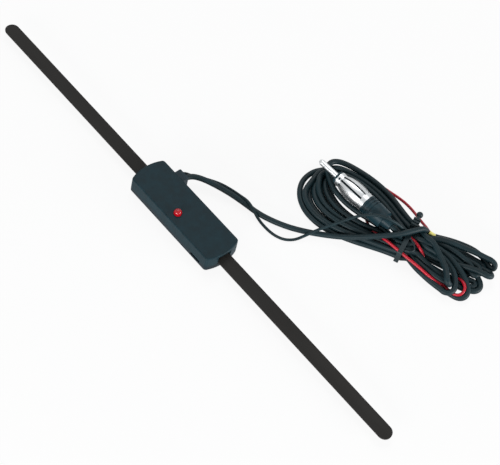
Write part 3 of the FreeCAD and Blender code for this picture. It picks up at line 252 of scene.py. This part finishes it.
hank = dict(
    place=(85.5, 92.0),
    angle=22.0,
    # outermost and innermost turns of the large lobe, from the tie's near side round to its far side
    outerTurn=[
        (-6, -9.4), (-15, -11.2), (-27, -14.0), (-38, -15.4), (-48, -14.8), (-58.4, -10.8), (-65.9, -2.8),
        (-68.6, 6.5), (-66.2, 15.5), (-60.5, 21.0), (-53, 24.0), (-43, 26.0), (-33, 25.6), (-22, 21.4),
        (-10, 13.5),
    ],
    innerTurn=[
        (-6, -1.0), (-15, -1.8), (-26, -2.2), (-34, -1.6), (-41.8, 0.2), (-47.2, 2.8), (-51.6, 6.4),
        (-54.6, 10.6), (-56.4, 14.4), (-54.5, 18.0), (-48.5, 19.4), (-40, 18.8), (-30, 16.2), (-19, 12.0),
        (-9, 7.6),
    ],
    topFrom=7,  # point of those turns where the pinched end begins
    farFrom=10,  # and where the far side begins
    # last turn of the large lobe, which lies on the others
    topTurn=[
        (-6, -3.4, 6.6), (-15, 0.6, 5.4), (-24, 2.4, 5.0), (-32, 3.0, 5.0), (-42, 5.2, 5.8),
        (-50.6, 9.4, 7.0), (-55.4, 13.0, 7.7), (-58.8, 16.8, 8.3), (-60.0, 20.4, 8.7), (-58.4, 24.2, 8.8),
        (-54.4, 26.6, 8.5), (-48.6, 27.4, 8.2), (-40, 26.6, 8.2), (-28, 24.1, 8.4), (-18, 20.0, 8.4),
        (-9, 13.4, 8.6),
    ],
    # each turn's share of the way inward and its height: on the near side, pinched end and far side
    largeTurns=[
        dict(inward=(1.14, 1.05, 1.0), heights=(1.7, 3.0, 1.8)),
        dict(inward=(0.90, 0.88, 0.85), heights=(4.3, 5.0, 4.4)),
        dict(inward=(0.77, 0.74, 0.65), heights=(1.7, 2.6, 1.8)),
        dict(inward=(0.63, 0.62, 0.50), heights=(4.3, 5.6, 4.4)),
        dict(inward=(0.46, 0.54, 0.55), heights=(4.6, 4.6, 7.0)),
        dict(inward=(0.32, 0.50, 0.30), heights=(1.7, 2.6, 1.8)),
        dict(inward=(0.13, 0.48, 0.40), heights=(4.0, 4.4, 6.4)),
        dict(inward=(0.0, 0.0, 0.06), heights=(1.7, 2.2, 4.0)),
    ],
    # turns of the small lobe: reach and bearing, width on the way out and back, then the fold's half width
    # and how far one side of it rises, and the heights on the way out, at the fold and on the way back
    smallTurns=[
        dict(reach=51.8, bearing=13.7, out=9.1, back=4.9, tip=-2.4, rise=-2.0, heights=(8.0, 3.8, 8.2)),
        dict(reach=51.2, bearing=6.2, out=4.2, back=-0.8, tip=2.8, rise=-1.8, heights=(2.0, 3.5, 2.6)),
        dict(reach=45.6, bearing=-3.8, out=3.4, back=-4.8, tip=4.0, rise=0, heights=(2.2, 1.7, 1.7)),
        dict(reach=46.5, bearing=12.5, out=5.4, back=-1.2, tip=4.0, rise=0, heights=(2.0, 1.7, 2.4)),
        dict(reach=47.4, bearing=-3.8, out=8.8, back=-6.8, tip=3.6, rise=0, heights=(7.2, 1.7, 4.6)),
        dict(reach=44.6, bearing=-16.6, out=9.4, back=-5.8, tip=4.6, rise=0, heights=(6.2, 1.7, 1.7)),
        dict(reach=40.0, bearing=5.0, out=5.0, back=1.0, tip=4.0, rise=0, heights=(2.4, 1.7, 2.6)),
        dict(reach=38.6, bearing=-23.8, out=10.6, back=-4.6, tip=4.6, rise=0, heights=(5.2, 4.6, 2.4)),
        dict(reach=44.0, bearing=5.0, out=4.2, back=2.0, tip=4.0, rise=0, heights=(3.4, 1.7, 4.0)),
        dict(reach=35.5, bearing=-25.5, out=9.6, back=-3.0, tip=-2.0, rise=3.0, heights=(9.6, 6.3, 4.4),
             wayOut="straight"),
    ],
    # share of the reach, share of the width: a bowed strand and a straight one
    bowed=[(0.16, 0.6), (0.30, 0.86), (0.46, 1.0), (0.62, 1.0), (0.78, 0.92), (0.90, 0.64)],
    straight=[(0.16, 0.82), (0.30, 0.96), (0.46, 0.78), (0.62, 0.62), (0.78, 0.44), (0.90, 0.24)],
    foldFrom=0.7,  # share of the reach where the strand starts to close in on the fold
    foldOver=0.3,  # and the share that it takes
    foldPoints=[(0.59, 1), (0, 0.41)],  # short of the tip and across, in half widths of the fold
    underTie=(2.5, -2.0),  # points along the hank on each side of the tie
    # places of the strands under the tie: across, height
    farLanes=[(3.4, 3.1), (1.7, 5.65), (6.8, 3.1), (5.2, 5.65), (3.6, 8.2), (10.4, 3.1), (7.0, 8.2),
              (8.6, 5.65), (10.2, 8.2)],
    nearLanes=[(0.0, 3.1), (-1.7, 5.65), (-3.5, 3.1), (-5.2, 5.65), (-6.9, 8.2), (-7.0, 3.1), (-8.7, 5.65),
               (-10.4, 3.1), (-3.4, 8.2)],
)


def toPart(points):
    turn = math.radians(hank["angle"])
    x0, y0 = hank["place"]
    return [(x0 + u * math.cos(turn) - v * math.sin(turn), y0 + u * math.sin(turn) + v * math.cos(turn), z)
            for u, v, z in points]


def toHank(points):
    turn = math.radians(hank["angle"])
    offset = np.asarray(points, float) - (*hank["place"], 0)
    along = offset[:, 0] * math.cos(turn) + offset[:, 1] * math.sin(turn)
    across = offset[:, 1] * math.cos(turn) - offset[:, 0] * math.sin(turn)
    return np.column_stack((along, across, offset[:, 2]))


def smallTurn(turn):
    bearing = math.radians(turn["bearing"])
    reach, tip, rise = turn["reach"], turn["tip"], turn["rise"]
    outHeight, tipHeight, backHeight = turn["heights"]
    fold = math.hypot(tip, rise)
    rows = []
    for width, height, sign, form in ((turn["out"], outHeight, 1, turn.get("wayOut", "bowed")),
                                      (turn["back"], backHeight, -1, "bowed")):
        side = []
        for share, part in hank[form]:
            blend = max(0, (share - hank["foldFrom"]) / hank["foldOver"]) ** 2
            across = width * part * (1 - blend) + sign * tip * blend
            side.append((share * reach, across, height + (tipHeight + sign * rise - height) * share))
        for short, part in hank["foldPoints"]:
            part *= sign
            side.append((reach - short * fold, tip * part, tipHeight + rise * part))
        rows.append(side)
    points = rows[0] + rows[1][::-1]
    return [(a * math.cos(bearing) - b * math.sin(bearing), a * math.sin(bearing) + b * math.cos(bearing), z)
            for a, b, z in points]


def largeTurn(turn):
    points = []
    for k, (outer, inner) in enumerate(zip(hank["outerTurn"], hank["innerTurn"])):
        where = (k >= hank["topFrom"]) + (k >= hank["farFrom"])  # 0 near side, 1 pinched end, 2 far side
        inward = turn["inward"][where]
        u, v = (a * (1 - inward) + b * inward for a, b in zip(outer, inner))
        points.append((u, v, turn["heights"][where]))
    return points


def woundTurns():
    points = []
    largeTurns = [largeTurn(turn) for turn in hank["largeTurns"]] + [hank["topTurn"]]
    for i, turn in enumerate(hank["smallTurns"]):
        points += smallTurn(turn)[1:] if i == 0 else smallTurn(turn)
        if i < len(largeTurns):
            points += [(along, *hank["nearLanes"][i]) for along in hank["underTie"]]
            points += largeTurns[i]
            points += [(along, *hank["farLanes"][i]) for along in hank["underTie"][::-1]]
    return points


def splineOf(name, points, thickness=0.0, resolution=6):
    curve = bpy.data.curves.new(name, "CURVE")
    curve.dimensions = "3D"
    spline = curve.splines.new("NURBS")
    spline.points.add(len(points) - 1)
    for control, point in zip(spline.points, points):
        control.co = (*(c * mm for c in point), 1)
        control.radius = thickness * mm / 2
    spline.order_u = 3
    spline.use_endpoint_u = True
    spline.resolution_u = resolution
    curve.bevel_depth = 1.0 if thickness else 0.0  # times each point's radius
    curve.bevel_resolution = 4
    curve.use_fill_caps = True
    return curve


def pointsAlong(points, spacing):
    # evenly spaced points read from the smooth spline
    guide = bpy.data.objects.new("guide", splineOf("guide", points))
    bpy.context.scene.collection.objects.link(guide)
    bpy.context.view_layer.update()
    mesh = bpy.data.meshes.new_from_object(guide)
    line = np.array([vertex.co / mm for vertex in mesh.vertices])
    curve = guide.data
    bpy.data.objects.remove(guide)
    bpy.data.curves.remove(curve)
    bpy.data.meshes.remove(mesh)
    run = np.concatenate(([0], np.cumsum(np.linalg.norm(np.diff(line, axis=0), axis=1))))
    marks = np.linspace(0, run[-1], int(run[-1] / spacing) + 1)
    return np.column_stack([np.interp(marks, run, line[:, axis]) for axis in range(3)])


# What the strands are pushed off: rows of balls along the plug (start, end, spacing, radius), the sleeve
obstacles = dict(
    plugTip=(19.5, 83.9, 13.35),
    plugYaw=2.6,
    plugRows=[(0, 16, 2, 1.8), (18, 52, 3, 6.3), (53, 56, 1.5, 3.4)],
    sleeveRadius=1.3,
)
strap = dict(half=2.2, across=12.3, low=1.5, high=9.8, top=11.0)
settle = dict(
    spacing=3.2,
    rounds=240,
    pull=0.05,  # back to where the strand was laid, easing to none
    stiffness=0.30,
    touch=0.99,  # share of the two radii at which strands push
    push=0.45,
    reach=2.0,  # gap up to which a pair is watched
    renew=8,  # rounds between new lists of pairs
    neighbours=4,  # points along one strand that don't push each other
    heldStart=2,
    heldEnd=3,
    nearPlug=7,  # last points of a strand, which may touch the plug or the sleeve
    floorGap=0.05,
)


def fixedBalls():
    yaw = math.radians(obstacles["plugYaw"])
    along = np.array([math.cos(yaw), math.sin(yaw), 0])
    rows = []
    for start, end, step, radius in obstacles["plugRows"]:
        rows += [(np.array(obstacles["plugTip"]) + along * d, radius) for d in np.arange(start, end, step)]
    low, high = (np.array(corner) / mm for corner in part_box("joint_sleeve"))
    rows.append(((low + high) / 2, obstacles["sleeveRadius"]))
    return np.array([place for place, _ in rows]), np.array([radius for _, radius in rows])


def settleStrands(guides, radii):
    # strands push each other apart as rows of balls, which eases the overlaps but doesn't clear them all;
    # their points are held above the floor and within the strap, near where they were laid
    balls, ballRadius = fixedBalls()
    home = np.vstack(guides + [balls])
    radius = np.concatenate([np.full(len(g), r) for g, r in zip(guides, radii)] + [ballRadius])
    cord = np.concatenate([np.full(len(g), i) for i, g in enumerate(guides)] + [np.full(len(balls), -1)])
    order = np.concatenate([np.arange(len(g)) for g in guides] + [np.arange(len(balls))])
    free = (cord >= 0).astype(float)
    count = np.array([len(guide) for guide in guides] + [len(balls)])[cord]
    free[(order < settle["heldStart"]) | (order > count - settle["heldEnd"])] = 0
    endOnBall = (order > count - settle["nearPlug"]) & (cord >= 0)
    ignore = cord[:, None] == cord[None, :]
    ignore &= np.abs(order[:, None] - order[None, :]) < settle["neighbours"]
    ignore |= (cord[:, None] < 0) & (cord[None, :] < 0)
    ignore |= (endOnBall[:, None] & (cord[None, :] < 0)) | ((cord[:, None] < 0) & endOnBall[None, :])
    inner = (cord[1:-1] == cord[:-2]) & (cord[1:-1] == cord[2:]) & (free[1:-1] > 0)
    homeHank = toHank(home)
    overStrap = homeHank[:, 2] > strap["top"]
    byStrap = np.abs(homeHank[:, 1]) < strap["across"]
    place = home.copy()
    for step in range(settle["rounds"]):
        if step % settle["renew"] == 0:
            gap = np.linalg.norm(place[:, None, :] - place[None, :, :], axis=2)
            near = (gap < radius[:, None] + radius[None, :] + settle["reach"]) & ~ignore
            first, second = np.nonzero(np.triu(near, 1))
            reach = (radius[first] + radius[second]) * settle["touch"]
            weight = np.maximum(free[first] + free[second], 1)
        ease = settle["pull"] * (1 - step / settle["rounds"])
        shift = (place - home) * (1 - ease)
        shift[1:-1] += ((shift[:-2] + shift[2:]) / 2 - shift[1:-1]) * settle["stiffness"] * inner[:, None]
        place = home + shift * free[:, None]
        offset = place[first] - place[second]
        distance = np.linalg.norm(offset, axis=1) + 1e-6
        push = np.maximum(reach - distance, 0) * settle["push"] / weight
        shove = offset / distance[:, None] * push[:, None]
        np.add.at(place, first, shove * free[first][:, None])
        np.add.at(place, second, -shove * free[second][:, None])
        spot = toHank(place)
        under = (np.abs(spot[:, 0]) < strap["half"]) & byStrap & (free > 0)
        inside = under & ~overStrap
        floor = radius + np.where(inside, strap["low"], settle["floorGap"])
        floor = np.where(under & overStrap, radius + strap["top"], floor)
        spot[:, 2] = np.where(free > 0, np.maximum(spot[:, 2], floor), spot[:, 2])
        spot[:, 2] = np.where(inside, np.minimum(spot[:, 2], strap["high"] - radius), spot[:, 2])
        room = strap["across"] - radius
        spot[:, 1] = np.where(inside, np.clip(spot[:, 1], -room, room), spot[:, 1])
        place = np.array(toPart(spot))
    sizes = np.cumsum([0] + [len(guide) for guide in guides])
    return [place[a:b] for a, b in zip(sizes, sizes[1:])]


coaxRoute = coax["lead"][-coax["settled"]:] + toPart(woundTurns()) + coax["plugEnd"]
coaxGuide = pointsAlong(coaxRoute, settle["spacing"])
redGuide = pointsAlong(toPart(redLead["route"]), settle["spacing"])
thinGuide = pointsAlong(thinLead["lead"][-thinLead["settled"]:], settle["spacing"])
coaxStrand, redStrand, thinStrand = settleStrands(
    [coaxGuide, redGuide, thinGuide], [cord["diameter"] / 2 for cord in (coax, redLead, thinLead)])
print("strands settled:", len(coaxStrand), "points in the hank")


def splineLength(points):
    line = pointsAlong(points, 1.0)
    return float(np.linalg.norm(np.diff(line, axis=0), axis=1).sum() * mm)


def makeCord(name, points, diameter, finish, resolution=4):
    piece = addPiece(name, splineOf(name, points, diameter, resolution))
    dress(piece, finish)
    return piece


coaxPoints = coax["lead"][:-coax["settled"]] + [tuple(p) for p in coaxStrand]
coaxCord = makeCord("coaxialCord", coaxPoints, coax["diameter"], "cordJacket")
thinPoints = thinLead["lead"][:-thinLead["settled"]] + [tuple(p) for p in thinStrand]
thinCord = makeCord("supplyCord", thinPoints, thinLead["diameter"], "cordJacket")
redPoints = [tuple(p) for p in redStrand]
redCord = makeCord("redCord", redPoints, redLead["diameter"], "redInsulation")
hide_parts("coax_lead", "plug_lead", "cable_hank")
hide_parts("power_lead")
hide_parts("red_lead")
cordLengths = [splineLength(points) for points in (coaxPoints, thinPoints, redPoints)]
print("cords laid, lengths in metres:", [round(length, 3) for length in cordLengths])

# Wire end of the tie, hooked over the strands beside it
tieHook = dict(
    thickness=1.1,
    resolution=8,
    route=[(0.8, -10.0, 9.6), (2.6, -9.8, 10.3), (4.9, -9.3, 10.4), (6.6, -7.4, 10.3), (5.6, -4.6, 10.4),
           (3.4, -2.4, 10.9), (1.2, -1.2, 11.2)],
)
makeCord("tieHook", toPart(tieHook["route"]), tieHook["thickness"], "tieNylon",
         tieHook["resolution"])
print("tie hook made")

# Floor and light
studio = dict(floorSize=6.0, floorDrop=0.05, floorColour=0.9, floorGlow=0.9,
              skyLight=0.22, skyColour=(0.92, 0.98, 1.0), aim=(0.03, 0.05, 0),
              frontPower=21.0, frontSize=(1.2, 0.4), frontPlace=(0.35, -1.25, 0.3),
              sidePower=20.0, sideSize=(0.9, 0.4), sidePlace=(1.3, 0.6, 0.28),
              topPower=8.0, topSize=(0.9, 0.9), topPlace=(-0.6, 0.5, 1.3))


def seenDirectly(tree, share):
    # share for rays from the camera, off gloss and through clear pieces, and none for the light that falls
    path = tree.nodes.new("ShaderNodeLightPath")
    total = path.outputs["Is Camera Ray"]
    for name in ("Is Glossy Ray", "Is Transmission Ray"):
        larger = tree.nodes.new("ShaderNodeMath")
        larger.operation = "MAXIMUM"
        tree.links.new(total, larger.inputs[0])
        tree.links.new(path.outputs[name], larger.inputs[1])
        total = larger.outputs["Value"]
    scaled = tree.nodes.new("ShaderNodeMath")
    scaled.operation = "MULTIPLY"
    scaled.inputs[1].default_value = share
    tree.links.new(total, scaled.inputs[0])
    return scaled.outputs["Value"]


def makeFloor():
    mesh = bpy.data.meshes.new("studioFloor")
    shape = bmesh.new()
    bmesh.ops.create_grid(shape, x_segments=1, y_segments=1, size=studio["floorSize"] / 2)
    shape.to_mesh(mesh)
    shape.free()
    floor = bpy.data.objects.new("studioFloor", mesh)
    floor.location.z = -studio["floorDrop"] * mm
    bpy.context.scene.collection.objects.link(floor)
    finish = bpy.data.materials.new("paleFloor")
    finish.use_nodes = True
    tree = finish.node_tree
    tree.nodes.remove(tree.nodes["Principled BSDF"])
    paint = tree.nodes.new("ShaderNodeBsdfDiffuse")
    paint.inputs["Color"].default_value = (studio["floorColour"],) * 3 + (1,)
    glow = tree.nodes.new("ShaderNodeEmission")
    mix = tree.nodes.new("ShaderNodeMixShader")
    tree.links.new(seenDirectly(tree, studio["floorGlow"]), mix.inputs["Fac"])
    tree.links.new(paint.outputs["BSDF"], mix.inputs[1])
    tree.links.new(glow.outputs["Emission"], mix.inputs[2])
    tree.links.new(mix.outputs["Shader"], tree.nodes["Material Output"].inputs["Surface"])
    mesh.materials.append(finish)


def makeSky():
    world = bpy.data.worlds.new("studioSky")
    bpy.context.scene.world = world
    world.use_nodes = True
    tree = world.node_tree
    plain = tree.nodes["Background"]
    plain.inputs["Color"].default_value = (*studio["skyColour"], 1)
    plain.inputs["Strength"].default_value = studio["skyLight"]
    white = tree.nodes.new("ShaderNodeBackground")
    white.inputs["Color"].default_value = (1, 1, 1, 1)
    mix = tree.nodes.new("ShaderNodeMixShader")
    tree.links.new(seenDirectly(tree, 1.0), mix.inputs["Fac"])
    tree.links.new(plain.outputs["Background"], mix.inputs[1])
    tree.links.new(white.outputs["Background"], mix.inputs[2])
    tree.links.new(mix.outputs["Shader"], tree.nodes["World Output"].inputs["Surface"])


def makeLamp(name):
    data = bpy.data.lights.new(name + "Light", "AREA")
    data.energy = studio[name + "Power"]
    data.shape = "RECTANGLE"
    data.size, data.size_y = studio[name + "Size"]
    place = Vector(studio[name + "Place"])
    lamp = bpy.data.objects.new(name + "Light", data)
    lamp.location = place
    lamp.rotation_euler = (Vector(studio["aim"]) - place).to_track_quat("-Z", "Y").to_euler()
    bpy.context.scene.collection.objects.link(lamp)


makeFloor()
makeSky()
for name in ("front", "side", "top"):
    makeLamp(name)
bpy.context.scene.view_settings.view_transform = "Standard"
print("floor and light set")

bpy.context.view_layer.update()
